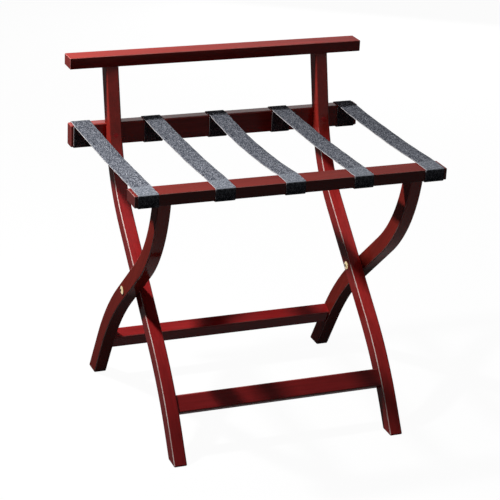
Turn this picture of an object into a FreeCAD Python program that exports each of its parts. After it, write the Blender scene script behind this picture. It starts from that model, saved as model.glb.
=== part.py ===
# Folding hotel luggage bench, a parametric model in millimetres.
#
# Two frames of bent legs cross like scissors and turn on two bolts. The back frame stands on the
# two front feet and rises behind the seat to the top rail. The front frame stands on the two rear
# feet and carries the front seat rail. Five webbing straps join the seat rails, and they stop the
# frames from opening further. The origin is on the floor below the pivot, midway between the
# sides, with +X to the right, +Y to the back and +Z up.
import FreeCAD, Part

import math
import os

import Sketcher
from FreeCAD import Placement, Rotation, Vector

# Driving dimensions: millimetres, angles in degrees. Every leg angle is measured from upright.
SIZES = {
    # Rails. Depth is measured front to back and height up.
    "rail_length": 600,
    "seat_height": 515,
    "back_rise": 131,
    "top_rail_depth": 39,
    "top_rail_height": 22,
    "front_rail_depth": 44,
    "front_rail_height": 22,
    "back_rail_depth": 24,
    "back_rail_height": 44,
    "rail_easing": 1.5,
    "back_rail_easing": 3,
    # The back rail is let into the backs of the posts, by this much at its lower edge.
    "housing_bite": 0.5,
    # Legs. The width is measured across the leg in side view, the thickness along X.
    "leg_thickness": 25,
    "leg_easing": 2.5,
    "pivot_height": 254,
    # The inner legs, which belong to the back frame.
    "back_leg_width": 30,
    "back_leg_foot_angle": 32,
    "back_leg_cross_angle": 48.5,
    "back_leg_top_angle": 13,
    "back_leg_lower_run": 117,
    "back_leg_lower_radius": 600,
    "back_leg_upper_radius": 290,
    # The bend into the straight post ends this far below the seat.
    "back_leg_shoulder_drop": 15.5,
    # The outer legs, which belong to the front frame. Their upper bend ends under the seat rail.
    "front_leg_width": 32,
    "front_leg_foot_angle": 30.5,
    "front_leg_cross_angle": 48.5,
    "front_leg_top_angle": 10,
    "front_leg_lower_run": 34,
    "front_leg_lower_radius": 600,
    "front_leg_upper_radius": 290,
    # Stretchers. The width is measured along the leg, the thickness square to it.
    "front_stretcher_height": 88,
    "rear_stretcher_height": 88,
    "stretcher_thickness": 24,
    "stretcher_width": 34,
    "stretcher_easing": 3,
    # Pivot hardware.
    "pivot_gap": 1.5,
    "washer_thickness": 1.3,
    "pivot_head_diameter": 16,
    "pivot_head_height": 4,
    "pivot_head_rim": 1.6,
    "pivot_socket_flats": 5,
    "pivot_socket_depth": 2.5,
    "bolt_diameter": 6,
    "bolt_tip_margin": 4,
    "washer_bore_diameter": 6.4,
    "barrel_diameter": 8,
    "barrel_length": 22,
    "barrel_floor": 2,
    "thread_gap": 0.05,
    # Running clearance of the bolt in the outer leg, on the radius, and beside its head.
    "pivot_clearance": 0.1,
    # Dowels and their holes. The gap is on the radius, and the holes are deeper by the end gap.
    "dowel_diameter": 8,
    "dowel_chamfer": 1,
    "glue_gap": 0.1,
    "dowel_end_gap": 1,
    "dowel_spacing": 15,
    "post_dowel_depth": 26,
    "front_leg_dowel_depth": 26,
    "rail_dowel_depth": 14,
    "leg_dowel_depth": 15,
    "stretcher_dowel_depth": 25,
    # Screws through the posts into the back rail, and the wood plugs over their heads.
    "screw_drop": 18,
    "plug_diameter": 10,
    "plug_depth": 5,
    "screw_head_diameter": 8,
    "screw_head_height": 3,
    "screw_head_rim": 1,
    "screw_drive_width": 2.4,
    "screw_drive_depth": 1.8,
    "screw_diameter": 4,
    "screw_point": 5,
    "screw_point_diameter": 1,
    # Wood left behind the tip of a screw.
    "screw_end_cover": 3,
    # Straps.
    "strap_width": 38,
    "strap_thickness": 1.5,
    "strap_clearance": 0.3,
    "inner_strap_spacing": 133,
    # The outer straps fill the rail ends beside the outer legs.
    "strap_end_margin": 6,
    "strap_leg_gap": 0.5,
    # Staples that hold the strap ends to the undersides of the seat rails.
    "staple_width": 11,
    "staple_wire": 0.8,
    "staple_leg": 9,
    "staple_spacing": 18,
    "staple_clearance": 0.1,
}

LEFT, RIGHT = -1, 1
SIDES = {"left": LEFT, "right": RIGHT}

# Lengths that several pieces share, as expressions.
SEAT_UNDER_FRONT = "(Sizes.seat_height - Sizes.front_rail_height)"
SEAT_UNDER_BACK = "(Sizes.seat_height - Sizes.back_rail_height)"
TOP_RAIL_UNDER = "(Sizes.seat_height + Sizes.back_rise - Sizes.top_rail_height)"
# Distances along X from the middle of the bench, from the rail ends inwards.
OUTER_STRAP = "(Sizes.rail_length / 2 - Sizes.strap_end_margin - Sizes.strap_width / 2)"
FRONT_LEG_OUTSIDE = f"({OUTER_STRAP} - Sizes.strap_width / 2 - Sizes.strap_leg_gap)"
FRONT_LEG_INSIDE = f"({FRONT_LEG_OUTSIDE} - Sizes.leg_thickness)"
BACK_LEG_OUTSIDE = f"({FRONT_LEG_INSIDE} - Sizes.pivot_gap)"
BACK_LEG_INSIDE = f"({BACK_LEG_OUTSIDE} - Sizes.leg_thickness)"
MIDDLE_OF_FRONT_LEG = f"({FRONT_LEG_INSIDE} + Sizes.leg_thickness / 2)"
MIDDLE_OF_BACK_LEG = f"({BACK_LEG_INSIDE} + Sizes.leg_thickness / 2)"

# Where each strap's middle lies along X.
STRAPS = {
    "strap_left_outer": f"-{OUTER_STRAP}",
    "strap_left_inner": "-Sizes.inner_strap_spacing",
    "strap_middle": "0",
    "strap_right_inner": "Sizes.inner_strap_spacing",
    "strap_right_outer": OUTER_STRAP,
}

doc = FreeCAD.newDocument("luggage_bench")


def fill_sheet(name, values):
    """A spreadsheet with one row for each value: its name, and the number with that alias."""
    sheet = doc.addObject("Spreadsheet::Sheet", name)
    for row, (alias, number) in enumerate(values.items(), start=1):
        sheet.set(f"A{row}", alias.replace("_", " "))
        sheet.set(f"B{row}", repr(number))
        sheet.setAlias(f"B{row}", alias)
    doc.recompute()
    return sheet


sizes = fill_sheet("Sizes", SIZES)


def value(expression):
    """The present value of an expression."""
    return float(sizes.evalExpression(str(expression)))


def size(alias):
    """The present value of one driving dimension."""
    return value(f"Sizes.{alias}")


# ---------------------------------------------------------------- the curve of a leg

def along(angle):
    """The direction that leans to +Y from upright by an angle, as a sketch sees it."""
    return Vector(math.sin(angle), math.cos(angle), 0)


def below(angle):
    """The direction square to along(angle), on the underside of the lean."""
    return Vector(math.cos(angle), -math.sin(angle), 0)


class LegCurve:
    """Side view of one leg: a straight foot, a bend, the crossing, a bend back and a straight top.

    It is worked out as if the leg leaned to +Y going up, and `lean` of -1 mirrors it. `offset` is the
    distance of a parallel line from the centreline, positive on the underside of the lean.
    """

    def __init__(self, leg, lean, top, shoulder):
        self.leg = leg
        self.lean = lean
        self.top = value(top)
        self.foot_angle = math.radians(size(f"{leg}_foot_angle"))
        self.cross_angle = math.radians(size(f"{leg}_cross_angle"))
        self.top_angle = math.radians(size(f"{leg}_top_angle"))
        self.lower_radius = size(f"{leg}_lower_radius")
        self.upper_radius = size(f"{leg}_upper_radius")
        self.half_width = size(f"{leg}_width") / 2
        cross = f"Sizes.{leg}_cross_angle * 1 deg"
        # Both bends start on the crossing line, which runs through the pivot.
        self.lower_centre_y = (f"{lean} * (Sizes.{leg}_lower_radius * cos({cross})"
                               f" - Sizes.{leg}_lower_run * sin({cross}))")
        self.lower_centre_z = (f"Sizes.pivot_height - Sizes.{leg}_lower_run * cos({cross})"
                               f" - Sizes.{leg}_lower_radius * sin({cross})")
        # The upper bend ends at the height of the shoulder.
        self.upper_centre_z = f"{shoulder} + Sizes.{leg}_upper_radius * sin(Sizes.{leg}_top_angle * 1 deg)"
        pivot = Vector(0, size("pivot_height"), 0)
        self.lower_centre = Vector(lean * value(self.lower_centre_y), value(self.lower_centre_z), 0)
        bend_start = self.upper_radius * math.sin(self.cross_angle)
        upper_run = (value(self.upper_centre_z) - bend_start - pivot.y) / math.cos(self.cross_angle)
        self.upper_centre = (pivot + along(self.cross_angle) * upper_run
                             - below(self.cross_angle) * self.upper_radius)

    def bends(self, offset):
        """The four points where a straight meets a bend, from the floor up."""
        lower = self.lower_radius - offset
        upper = self.upper_radius + offset
        return [self.lower_centre - below(self.foot_angle) * lower,
                self.lower_centre - below(self.cross_angle) * lower,
                self.upper_centre + below(self.cross_angle) * upper,
                self.upper_centre + below(self.top_angle) * upper]

    def place(self, height, offset=0.0):
        """The point of the line at a height, and the angle from upright of the leg there."""
        foot_bend, cross_bend, shoulder_bend, top_bend = self.bends(offset)
        lower = self.lower_radius - offset
        upper = self.upper_radius + offset
        if height <= foot_bend.y:
            angle = self.foot_angle
            point = foot_bend + along(angle) * ((height - foot_bend.y) / math.cos(angle))
        elif height <= cross_bend.y:
            angle = math.asin((height - self.lower_centre.y) / lower)
            point = self.lower_centre - below(angle) * lower
        elif height <= shoulder_bend.y:
            angle = self.cross_angle
            point = cross_bend + along(angle) * ((height - cross_bend.y) / math.cos(angle))
        elif height <= top_bend.y:
            angle = math.asin((self.upper_centre.y - height) / upper)
            point = self.upper_centre + below(angle) * upper
        else:
            angle = self.top_angle
            point = top_bend + along(angle) * ((height - top_bend.y) / math.cos(angle))
        return Vector(self.lean * point.x, point.y, 0), angle

    def y(self, height, offset=0.0):
        return self.place(height, offset)[0].x

    def mirrored(self, point):
        return Vector(self.lean * point.x, point.y, 0)


back_leg = LegCurve("back_leg", 1, TOP_RAIL_UNDER, "Sizes.seat_height - Sizes.back_leg_shoulder_drop")
front_leg = LegCurve("front_leg", -1, SEAT_UNDER_FRONT, SEAT_UNDER_FRONT)


def layout():
    """Places that follow from the curves of the legs, as plain numbers for the second sheet."""
    front_stretcher, front_tilt = back_leg.place(size("front_stretcher_height"))
    rear_stretcher, rear_tilt = front_leg.place(size("rear_stretcher_height"))
    post_top, post_tilt = back_leg.place(value(TOP_RAIL_UNDER))
    leg_top, leg_tilt = front_leg.place(value(SEAT_UNDER_FRONT))
    # The screws are square to the front faces of the posts.
    screw_height = size("seat_height") - size("screw_drop")
    screw, screw_tilt = back_leg.place(screw_height, -back_leg.half_width)
    back_rail_front = back_leg.y(value(SEAT_UNDER_BACK), back_leg.half_width) - size("housing_bite")
    post_front = back_leg.y(value(TOP_RAIL_UNDER), -back_leg.half_width)
    return {
        "front_stretcher_y": front_stretcher.x,
        "front_stretcher_tilt": -math.degrees(front_tilt),
        "rear_stretcher_y": rear_stretcher.x,
        "rear_stretcher_tilt": math.degrees(rear_tilt),
        "post_top_y": post_top.x,
        "post_top_tilt": -math.degrees(post_tilt),
        "front_leg_top_y": leg_top.x,
        "front_leg_top_tilt": math.degrees(leg_tilt),
        "screw_y": screw.x,
        "screw_tilt": -math.degrees(screw_tilt),
        "back_rail_front": back_rail_front,
        "top_rail_front": post_front,
    }


fill_sheet("Places", layout())

SCREW_HEIGHT = "(Sizes.seat_height - Sizes.screw_drop)"
BACK_RAIL_Y = "(Places.back_rail_front + Sizes.back_rail_depth / 2)"
BACK_RAIL_Z = "(Sizes.seat_height - Sizes.back_rail_height / 2)"
TOP_RAIL_Y = "(Places.top_rail_front + Sizes.top_rail_depth / 2)"
TOP_RAIL_Z = "(Sizes.seat_height + Sizes.back_rise - Sizes.top_rail_height / 2)"
FRONT_RAIL_Z = "(Sizes.seat_height - Sizes.front_rail_height / 2)"


# ---------------------------------------------------------------- sketches

def origin_feature(body, role):
    return next(item for item in body.Origin.OriginFeatures if item.Role == role)


def new_sketch(body, role, height="0"):
    """A sketch on one of the body's own origin planes, raised along that plane's normal."""
    sketch = body.newObject("Sketcher::SketchObject", f"{body.Name}_sketch")
    sketch.AttachmentSupport = [(origin_feature(body, role), "")]
    sketch.MapMode = "FlatFace"
    sketch.AttachmentOffset = Placement(Vector(0, 0, value(height)), Rotation())
    sketch.setExpression("AttachmentOffset.Base.z", height)
    return sketch


def dimension(sketch, kind, *where, to):
    """A dimension of a sketch, bound to an expression."""
    now = math.radians(value(to)) if kind == "Angle" else value(to)
    index = sketch.addConstraint(Sketcher.Constraint(kind, *where, now))
    name = f"{kind}_{index}"
    sketch.renameConstraint(index, name)
    sketch.setExpression(f"Constraints.{name}", to)


def rule(sketch, kind, *where):
    sketch.addConstraint(Sketcher.Constraint(kind, *where))


# Sketch points are a curve's number and 1 for its start, 2 for its end, 3 for its centre.
START, END, CENTRE = 1, 2, 3
# A sketch's own axes have the numbers -1 and -2, and the first starts at its origin.
X_AXIS, Y_AXIS = -1, -2
ORIGIN = (X_AXIS, START)


def square_outline(sketch, corners):
    """A closed outline of level and upright lines through corners, given as pairs of expressions."""
    points = [Vector(value(x), value(y), 0) for x, y in corners]
    count = len(points)
    first = len(sketch.Geometry)
    for step in range(count):
        sketch.addGeometry(Part.LineSegment(points[step], points[(step + 1) % count]))
    for step, (x, y) in enumerate(corners):
        line = first + step
        following = (step + 1) % count
        rule(sketch, "Coincident", line, END, first + following, START)
        if y == corners[following][1]:
            rule(sketch, "Horizontal", line)
            dimension(sketch, "DistanceY", *ORIGIN, line, START, to=y)
        else:
            rule(sketch, "Vertical", line)
            dimension(sketch, "DistanceX", *ORIGIN, line, START, to=x)


def centred_rectangle(sketch, width, height):
    square_outline(sketch, [(f"-{width} / 2", f"-{height} / 2"), (f"{width} / 2", f"-{height} / 2"),
                            (f"{width} / 2", f"{height} / 2"), (f"-{width} / 2", f"{height} / 2")])


def circle(sketch, diameter):
    """A circle about the sketch's origin."""
    index = sketch.addGeometry(Part.Circle(Vector(0, 0, 0), Vector(0, 0, 1), value(diameter) / 2))
    rule(sketch, "Coincident", index, CENTRE, *ORIGIN)
    dimension(sketch, "Diameter", index, to=diameter)


def hexagon(sketch, flats):
    """A regular hexagon about the sketch's origin, with an upright pair of flats."""
    corner = value(flats) / math.sqrt(3)
    points = [Vector(corner * math.sin(math.radians(turn)), corner * math.cos(math.radians(turn)), 0)
              for turn in range(0, 360, 60)]
    for step in range(6):
        sketch.addGeometry(Part.LineSegment(points[step], points[(step + 1) % 6]))
    ring = sketch.addGeometry(Part.Circle(Vector(0, 0, 0), Vector(0, 0, 1), corner), True)
    rule(sketch, "Coincident", ring, CENTRE, *ORIGIN)
    dimension(sketch, "Radius", ring, to=f"{flats} / sqrt(3)")
    for step in range(6):
        rule(sketch, "Coincident", step, END, (step + 1) % 6, START)
        rule(sketch, "PointOnObject", step, START, ring)
    for step in range(1, 6):
        rule(sketch, "Equal", 0, step)
    rule(sketch, "Vertical", 1)


def draw_arc(sketch, centre, begin, finish):
    """An arc from begin to finish about a centre; returns its number and the ends that they became."""
    forward = (begin - centre).cross(finish - centre).z > 0
    first, last = (begin, finish) if forward else (finish, begin)
    ring = Part.Circle(centre, Vector(0, 0, 1), (begin - centre).Length)
    angles = [math.atan2((end - centre).y, (end - centre).x) for end in (first, last)]
    index = sketch.addGeometry(Part.ArcOfCircle(ring, *angles))
    return index, (START, END) if forward else (END, START)


def draw_leg_edge(sketch, curve, offset, offset_expression):
    """One long edge of a leg, floor to top; returns its two free ends and its two arcs."""
    leg = curve.leg
    floor, _ = curve.place(0, offset)
    top, _ = curve.place(curve.top, offset)
    foot_bend, cross_bend, shoulder_bend, top_bend = (curve.mirrored(p) for p in curve.bends(offset))
    pieces = []

    def line(begin, finish, angle):
        index = sketch.addGeometry(Part.LineSegment(begin, finish))
        if angle:
            dimension(sketch, "Angle", index, to=f"90 - {curve.lean} * Sizes.{leg}_{angle}_angle")
        pieces.append((index, (START, END)))

    def bend(centre, begin, finish, radius):
        index, ends = draw_arc(sketch, curve.mirrored(centre), begin, finish)
        dimension(sketch, "Radius", index, to=radius)
        pieces.append((index, ends))
        return index

    # A bend that reaches the floor or the top leaves no straight there.
    lower_start = floor
    if foot_bend.y > 0:
        line(floor, foot_bend, "foot")
        lower_start = foot_bend
    lower = bend(curve.lower_centre, lower_start, cross_bend,
                 f"Sizes.{leg}_lower_radius - ({offset_expression})")
    # The direction of the second edge's crossing follows from its two arcs.
    line(cross_bend, shoulder_bend, "cross" if offset > 0 else None)
    upper_end = top_bend if top_bend.y < curve.top else top
    upper = bend(curve.upper_centre, shoulder_bend, upper_end,
                 f"Sizes.{leg}_upper_radius + ({offset_expression})")
    if top_bend.y < curve.top:
        line(top_bend, top, "top")
    for (one, one_ends), (other, other_ends) in zip(pieces, pieces[1:]):
        rule(sketch, "Tangent", one, one_ends[1], other, other_ends[0])
    return (pieces[0][0], pieces[0][1][0]), (pieces[-1][0], pieces[-1][1][1]), lower, upper


def draw_leg(sketch, curve, top_expression):
    """The closed side view of a leg, cut level on the floor and at the top."""
    half = f"Sizes.{curve.leg}_width / 2"
    edges = [draw_leg_edge(sketch, curve, curve.half_width, half),
             draw_leg_edge(sketch, curve, -curve.half_width, f"-{half}")]
    (foot, top, lower, upper), (other_foot, other_top, other_lower, other_upper) = edges
    rule(sketch, "Coincident", lower, CENTRE, other_lower, CENTRE)
    rule(sketch, "Coincident", upper, CENTRE, other_upper, CENTRE)
    dimension(sketch, "DistanceX", *ORIGIN, lower, CENTRE, to=curve.lower_centre_y)
    dimension(sketch, "DistanceY", *ORIGIN, lower, CENTRE, to=curve.lower_centre_z)
    dimension(sketch, "DistanceY", *ORIGIN, upper, CENTRE, to=curve.upper_centre_z)
    for end, other_end, height in ((foot, other_foot, 0), (top, other_top, curve.top)):
        cut = sketch.addGeometry(Part.LineSegment(sketch.getPoint(*end), sketch.getPoint(*other_end)))
        rule(sketch, "Coincident", cut, START, *end)
        rule(sketch, "Coincident", cut, END, *other_end)
        if height:
            dimension(sketch, "DistanceY", *ORIGIN, *end, to=top_expression)
            rule(sketch, "Horizontal", cut)
        else:
            rule(sketch, "PointOnObject", *end, X_AXIS)
            rule(sketch, "PointOnObject", *other_end, X_AXIS)


# ---------------------------------------------------------------- bodies

def new_body(name):
    return doc.addObject("PartDesign::Body", name)


def pad(body, sketch, length):
    """Pads a sketch by a length, half to each side of its plane."""
    feature = body.newObject("PartDesign::Pad", f"{body.Name}_pad")
    feature.Profile = sketch
    feature.Midplane = True
    feature.setExpression("Length", length)
    doc.recompute()
    return feature


def ease(body, feature, radius, wanted=lambda edge: True):
    """Rounds the wanted edges of a feature."""
    names = [f"Edge{number}" for number, edge in enumerate(feature.Shape.Edges, start=1) if wanted(edge)]
    rounded = body.newObject("PartDesign::Fillet", f"{body.Name}_easing")
    rounded.Base = (feature, names)
    rounded.setExpression("Radius", radius)
    doc.recompute()
    return rounded


def revolve(body, sketch):
    """Turns a sketch on the body's XZ plane once about the body's Z axis."""
    feature = body.newObject("PartDesign::Revolution", f"{body.Name}_turned")
    feature.Profile = sketch
    feature.ReferenceAxis = (sketch, ["V_Axis"])
    feature.Angle = 360
    doc.recompute()
    return feature


def sink(body, sketch, depth):
    """Pockets a sketch upwards, and makes sure that it took material away."""
    before = body.Shape.Volume
    feature = body.newObject("PartDesign::Pocket", f"{body.Name}_pocket")
    feature.Profile = sketch
    feature.Reversed = True
    feature.setExpression("Length", depth)
    doc.recompute()
    if not body.Shape.Volume < before:
        raise RuntimeError(f"the pocket in {body.Name} cuts nothing")


def put(piece, x="0", y="0", z="0", axis=None, turn="0"):
    """Places a piece: each coordinate and the turn about an axis is an expression."""
    if axis is not None:
        piece.Placement = Placement(Vector(0, 0, 0), Rotation(axis, value(turn)))
        piece.setExpression("Placement.Rotation.Angle", turn)
    for name, expression in (("x", x), ("y", y), ("z", z)):
        piece.setExpression(f"Placement.Base.{name}", expression)
    return piece


def copies(name, original, places):
    """A node of identical pieces: one link to the original for each place, in one compound."""
    links = []
    for place in places:
        link = doc.addObject("App::Link", f"{name}_copy")
        link.LinkedObject = original
        links.append(put(link, **place))
    group = doc.addObject("Part::Compound", name)
    group.Links = links
    return group


def drilled(name, solid, tools):
    """The solid less its tools, as the finished sub-part."""
    group = doc.addObject("Part::Compound", f"{name}_tools")
    group.Links = tools
    result = doc.addObject("Part::Cut", name)
    result.Base = solid
    result.Tool = group
    return result


# ---------------------------------------------------------------- dowels, screws and staples

def turned_piece(name, sections):
    """A turned piece on the Z axis, from (radius, height) expressions up its profile."""
    body = new_body(name)
    sketch = new_sketch(body, "XZ_Plane")
    corners = [("0", sections[0][1]), *sections, ("0", sections[-1][1])]
    points = [Vector(value(radius), value(height), 0) for radius, height in corners]
    count = len(points)
    for step in range(count):
        sketch.addGeometry(Part.LineSegment(points[step], points[(step + 1) % count]))
    for step in range(count):
        rule(sketch, "Coincident", step, END, (step + 1) % count, START)
    for step, (radius, height) in enumerate(corners):
        if radius == "0":
            rule(sketch, "PointOnObject", step, START, Y_AXIS)
        else:
            dimension(sketch, "DistanceX", *ORIGIN, step, START, to=radius)
        dimension(sketch, "DistanceY", *ORIGIN, step, START, to=height)
    revolve(body, sketch)
    return body


def dowel(name, low, high):
    """A dowel on the Z axis that reaches `low` below the joint and `high` above it."""
    radius = "Sizes.dowel_diameter / 2"
    return turned_piece(name, [
        (f"{radius} - Sizes.dowel_chamfer", f"-{low}"),
        (radius, f"-{low} + Sizes.dowel_chamfer"),
        (radius, f"{high} - Sizes.dowel_chamfer"),
        (f"{radius} - Sizes.dowel_chamfer", high),
    ])


def rod(name, radius, low, high, place):
    """A plain round tool on its own Z axis, from `low` below its place to `high` above it."""
    tool = doc.addObject("Part::Cylinder", name)
    tool.setExpression("Radius", radius)
    tool.setExpression("Height", f"{low} + {high}")
    holder = doc.addObject("Part::Compound", f"{name}_at_depth")
    tool.setExpression("Placement.Base.z", f"-({low})")
    holder.Links = [tool]
    return put(holder, **place)


def dowel_holes(name, low, high, places):
    """Tools for the holes of dowels, longer than the dowels at both ends."""
    radius = "Sizes.dowel_diameter / 2 + Sizes.glue_gap"
    return [rod(name, radius, f"({low} + Sizes.dowel_end_gap)", f"({high} + Sizes.dowel_end_gap)", place)
            for place in places]


TO_X, TO_Y = Vector(1, 0, 0), Vector(0, 1, 0)


def end_grain_places(centre, height, tilt, middle_x):
    """Two dowels at each end of a rail that lies on leg tops, along the legs."""
    return [{"x": f"{side} * {middle_x}", "y": f"{centre} + {step} * Sizes.dowel_spacing / 2", "z": height,
             "axis": TO_X, "turn": tilt}
            for side in SIDES.values() for step in (-1, 1)]


def stretcher_places(stretcher, face):
    """Two dowels at each end of a stretcher, side by side along the leg, pointing outwards."""
    tilt = f"(Places.{stretcher}_tilt * 1 deg)"
    return [{"x": f"{side} * {face}",
             "y": f"Places.{stretcher}_y - {step} * Sizes.dowel_spacing / 2 * sin({tilt})",
             "z": f"Sizes.{stretcher}_height + {step} * Sizes.dowel_spacing / 2 * cos({tilt})",
             "axis": TO_Y, "turn": str(90 * side)}
            for side in SIDES.values() for step in (-1, 1)]


TOP_DOWELS = end_grain_places("Places.post_top_y", TOP_RAIL_UNDER, "Places.post_top_tilt",
                              MIDDLE_OF_BACK_LEG)
RAIL_DOWELS = end_grain_places("Places.front_leg_top_y", SEAT_UNDER_FRONT, "Places.front_leg_top_tilt",
                               MIDDLE_OF_FRONT_LEG)

# Each kind of dowel: its places, its depth below the joint plane and its depth above it.
DOWELS = {
    "top_rail_dowels": (TOP_DOWELS, "Sizes.post_dowel_depth", "Sizes.rail_dowel_depth"),
    "front_rail_dowels": (RAIL_DOWELS, "Sizes.front_leg_dowel_depth", "Sizes.rail_dowel_depth"),
}
for stretcher, face in (("front_stretcher", BACK_LEG_INSIDE), ("rear_stretcher", FRONT_LEG_INSIDE)):
    DOWELS[f"{stretcher}_dowels"] = (stretcher_places(stretcher, face), "Sizes.stretcher_dowel_depth",
                                     "Sizes.leg_dowel_depth")


def joint_holes(owner, kind):
    """The hole tools that one kind of dowel needs, made anew for each piece that it enters."""
    places, low, high = DOWELS[kind]
    return dowel_holes(f"{owner}_{kind}_hole", low, high, places)


# A screw's own Z axis runs from the front face of its post towards the back rail.
def screw_places():
    return [{"x": f"{side} * {MIDDLE_OF_BACK_LEG}", "y": "Places.screw_y", "z": SCREW_HEIGHT,
             "axis": TO_X, "turn": "-90 + Places.screw_tilt"}
            for side in SIDES.values()]


SCREW_HEAD_TOP = "Sizes.plug_depth"
SCREW_HEAD_BOTTOM = "Sizes.plug_depth + Sizes.screw_head_height"
SCREW_TIP = ("((Places.back_rail_front + Sizes.back_rail_depth - Places.screw_y)"
             " / cos(Places.screw_tilt * 1 deg) - Sizes.screw_end_cover)")


def make_screws():
    radius = "Sizes.screw_diameter / 2"
    screw = turned_piece("screw", [
        ("Sizes.screw_head_diameter / 2", SCREW_HEAD_TOP),
        ("Sizes.screw_head_diameter / 2", f"{SCREW_HEAD_TOP} + Sizes.screw_head_rim"),
        (radius, SCREW_HEAD_BOTTOM),
        (radius, f"{SCREW_TIP} - Sizes.screw_point"),
        ("Sizes.screw_point_diameter / 2", SCREW_TIP),
    ])
    drive = new_sketch(screw, "XY_Plane", SCREW_HEAD_TOP)
    centred_rectangle(drive, "Sizes.screw_drive_width", "Sizes.screw_drive_width")
    sink(screw, drive, "Sizes.screw_drive_depth")
    return copies("back_rail_screws", screw, screw_places())


def make_plugs():
    radius = "Sizes.plug_diameter / 2"
    plug = turned_piece("plug", [(radius, "0"), (radius, "Sizes.plug_depth")])
    return copies("back_rail_plugs", plug, screw_places())


def screw_holes(owner):
    """Tools for the plug, head and shank of each screw."""
    tools = []
    for place in screw_places():
        tools.append(rod(f"{owner}_plug_bore", "Sizes.plug_diameter / 2 + Sizes.glue_gap", "Sizes.plug_depth",
                         "Sizes.plug_depth", place))
        tools.append(rod(f"{owner}_head_bore", "Sizes.screw_head_diameter / 2 + Sizes.glue_gap", "0",
                         SCREW_HEAD_BOTTOM, place))
        tools.append(rod(f"{owner}_shank_bore", "Sizes.screw_diameter / 2 + Sizes.glue_gap", "0",
                         f"{SCREW_TIP} + Sizes.dowel_end_gap", place))
    return tools


# ---------------------------------------------------------------- pivots

def make_head(body, shaft):
    """A domed round head under z = 0 with the profile `shaft` above it, as (radius, height) pairs."""
    sketch = new_sketch(body, "XZ_Plane")
    head_radius = "Sizes.pivot_head_diameter / 2"
    rise = value("Sizes.pivot_head_height - Sizes.pivot_head_rim")
    reach = value(head_radius)
    # The dome is an arc through the head's middle and its rim, centred on the axis.
    dome_radius = (reach ** 2 + rise ** 2) / (2 * rise)
    crown = Vector(0, -size("pivot_head_height"), 0)
    rim = Vector(reach, -size("pivot_head_rim"), 0)
    dome, (crown_end, rim_end) = draw_arc(sketch, crown + Vector(0, dome_radius, 0), crown, rim)
    corners = [(head_radius, "0"), *shaft, ("0", shaft[-1][1])]
    points = [rim, *(Vector(value(radius), value(height), 0) for radius, height in corners), crown]
    lines = [sketch.addGeometry(Part.LineSegment(a, b)) for a, b in zip(points, points[1:])]
    rule(sketch, "PointOnObject", dome, CENTRE, Y_AXIS)
    rule(sketch, "Coincident", dome, rim_end, lines[0], START)
    rule(sketch, "Coincident", dome, crown_end, lines[-1], END)
    for one, other in zip(lines, lines[1:]):
        rule(sketch, "Coincident", one, END, other, START)
    rule(sketch, "PointOnObject", dome, crown_end, Y_AXIS)
    dimension(sketch, "DistanceY", *ORIGIN, dome, crown_end, to="-Sizes.pivot_head_height")
    dimension(sketch, "DistanceX", *ORIGIN, dome, rim_end, to=head_radius)
    dimension(sketch, "DistanceY", *ORIGIN, dome, rim_end, to="-Sizes.pivot_head_rim")
    for line, (radius, height) in zip(lines, corners):
        if radius == "0":
            rule(sketch, "PointOnObject", line, END, Y_AXIS)
        else:
            dimension(sketch, "DistanceX", *ORIGIN, line, END, to=radius)
        dimension(sketch, "DistanceY", *ORIGIN, line, END, to=height)
    revolve(body, sketch)
    socket = new_sketch(body, "XY_Plane", "-Sizes.pivot_head_height")
    hexagon(socket, "Sizes.pivot_socket_flats")
    sink(body, socket, "Sizes.pivot_socket_depth")


# The bolt comes in from the outer leg's outside and ends inside the nut's barrel.
BOLT_SEAT = f"({FRONT_LEG_OUTSIDE} + Sizes.pivot_clearance)"
BOLT_LENGTH = f"({BOLT_SEAT} - {BACK_LEG_INSIDE} - Sizes.bolt_tip_margin)"


def make_pivots():
    bolt = new_body("bolt")
    radius = "Sizes.bolt_diameter / 2"
    make_head(bolt, [(radius, "0"), (radius, BOLT_LENGTH)])
    nut = new_body("nut")
    barrel = "Sizes.barrel_diameter / 2"
    make_head(nut, [(barrel, "0"), (barrel, "Sizes.barrel_length")])
    bore = new_sketch(nut, "XY_Plane", "Sizes.barrel_floor")
    circle(bore, "Sizes.bolt_diameter + 2 * Sizes.thread_gap")
    sink(nut, bore, "Sizes.barrel_length")
    washer = new_body("washer")
    ring = new_sketch(washer, "XY_Plane")
    circle(ring, "Sizes.pivot_head_diameter")
    circle(ring, "Sizes.washer_bore_diameter")
    pad(washer, ring, "Sizes.washer_thickness")

    def at(x, turn):
        return [{"x": f"{side} * {x}", "z": "Sizes.pivot_height", "axis": TO_Y, "turn": str(side * turn)}
                for side in SIDES.values()]

    # The washer lies against the inner leg, and the running gap is on its outer side.
    copies("pivot_bolts", bolt, at(BOLT_SEAT, -90))
    copies("pivot_nuts", nut, at(BACK_LEG_INSIDE, 90))
    copies("pivot_washers", washer, at(f"({BACK_LEG_OUTSIDE} + Sizes.washer_thickness / 2)", 90))


def pivot_hole(name, radius, side, inside, outside):
    """A tool for the bore of a leg at the pivot, from past its inside to past its outside."""
    spare = "Sizes.leg_thickness"
    place = {"x": f"{side} * {inside}", "z": "Sizes.pivot_height", "axis": TO_Y, "turn": str(90 * side)}
    return rod(name, radius, spare, f"({outside} - {inside} + {spare})", place)


# ---------------------------------------------------------------- legs

def leg_blank(name, curve, top, middle):
    body = new_body(f"{name}_blank")
    sketch = new_sketch(body, "YZ_Plane")
    draw_leg(sketch, curve, top)
    padded = pad(body, sketch, "Sizes.leg_thickness")
    top_height = value(top)

    def outside_the_top(edge):
        return edge.BoundBox.ZMin < top_height - 1e-6

    ease(body, padded, "Sizes.leg_easing", outside_the_top)
    return put(body, x=middle)


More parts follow.
